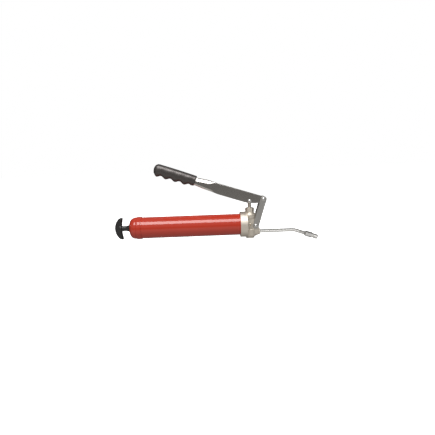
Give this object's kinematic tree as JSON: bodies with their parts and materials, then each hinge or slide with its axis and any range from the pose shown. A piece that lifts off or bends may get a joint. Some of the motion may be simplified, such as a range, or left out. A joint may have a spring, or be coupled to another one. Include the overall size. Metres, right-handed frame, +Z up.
{
  "type": "grease gun",
  "caption": "Lever-action grease gun: red barrel with domed cap and black T handle, cast head with two links, steel lever with a finger grip, bent outlet pipe and nipple coupler.",
  "frame": {"origin": "on the barrel's axis, halfway along the visible tube", "axes": "+X along the barrel towards the outlet, +Z up towards the lever, +Y to the far side of the side view"},
  "size_m": [0.5475, 0.0684, 0.2163],
  "materials": {
    "red_paint": "gloss",
    "cast_nickel": "satin",
    "bright_steel": "satin",
    "lever_steel": "polished",
    "chrome": "polished",
    "spring_steel": "satin",
    "black_vinyl": "satin",
    "black_plastic": "satin",
    "rubber": "matte",
    "brass": "satin"
  },
  "bodies": {
    "gun": {"barrel_tube": "red_paint", "rear_cap": "red_paint", "rod_bushing": "bright_steel", "follower_spring": "spring_steel", "head_casting": "cast_nickel", "barrel_gasket": "rubber", "gland_nut": "cast_nickel", "plunger_packing": "rubber", "bottom_plug": "cast_nickel", "bleeder_body": "bright_steel", "bleeder_spring": "spring_steel", "check_spring": "spring_steel", "discharge_pipe": "chrome", "coupler_body": "chrome", "coupler_sleeve": "chrome", "coupler_jaws": "bright_steel", "coupler_spring": "spring_steel"},
    "plunger": {"plunger": "bright_steel"},
    "lever": {"lever_channel": "lever_steel", "lever_grip": "black_vinyl", "plunger_pin": "bright_steel"},
    "links": {"link_plate_left": "bright_steel", "link_plate_right": "bright_steel", "link_top_pin": "bright_steel", "link_bottom_pin": "bright_steel"},
    "follower": {"follower_cup": "rubber", "follower_front_plate": "bright_steel", "follower_back_plate": "bright_steel"},
    "rod": {"follower_rod": "bright_steel", "rod_nut": "bright_steel", "t_handle": "black_plastic"},
    "bleeder_pin": {"bleeder_pin": "brass"},
    "check_ball": {"check_ball": "chrome"},
    "coupler_piston": {"coupler_piston": "brass"}
  },
  "joints": [
    {"name": "plunger_slide", "type": "slide", "parent": "gun", "child": "plunger", "axis": [0, 0, 1], "range_m": [-0.008, 0.0185]},
    {"name": "lever_hinge", "type": "hinge", "parent": "plunger", "child": "lever", "pos_m": [0.1585, 0, 0.0625], "axis": [0, 1, 0], "range_deg": [-12, 28]},
    {"name": "link_hinge", "type": "hinge", "parent": "gun", "child": "links", "pos_m": [0.1732, 0, -0.0036], "axis": [0, 1, 0], "range_deg": [-2, 1]},
    {"name": "follower_slide", "type": "slide", "parent": "gun", "child": "follower", "axis": [-1, 0, 0], "range_m": [0, 0.22], "stiffness_N_per_m": 200, "springref_m": -0.1, "deforming": ["follower_spring"]},
    {"name": "handle_turn", "type": "hinge", "parent": "follower", "child": "rod", "pos_m": [-0.164, 0, 0], "axis": [1, 0, 0], "continuous": true},
    {"name": "bleeder_press", "type": "slide", "parent": "gun", "child": "bleeder_pin", "axis": [0, 1, 0], "range_m": [0, 0.0025], "stiffness_N_per_m": 150, "springref_m": -0.002, "deforming": ["bleeder_spring"]},
    {"name": "check_lift", "type": "slide", "parent": "gun", "child": "check_ball", "axis": [1, 0, 0], "range_m": [0, 0.001], "stiffness_N_per_m": 100, "springref_m": -0.002, "deforming": ["check_spring"]},
    {"name": "coupler_press", "type": "slide", "parent": "gun", "child": "coupler_piston", "axis": [-0.9455, 0, 0.3256], "range_m": [0, 0.0015], "stiffness_N_per_m": 150, "springref_m": -0.002, "deforming": ["coupler_spring"]}
  ],
  "couplings": [
    {"joint": "plunger_slide", "follows": "lever_hinge", "m_per_rad": 0.037},
    {"joint": "link_hinge", "follows": "lever_hinge", "ratio": -0.05}
  ]
}
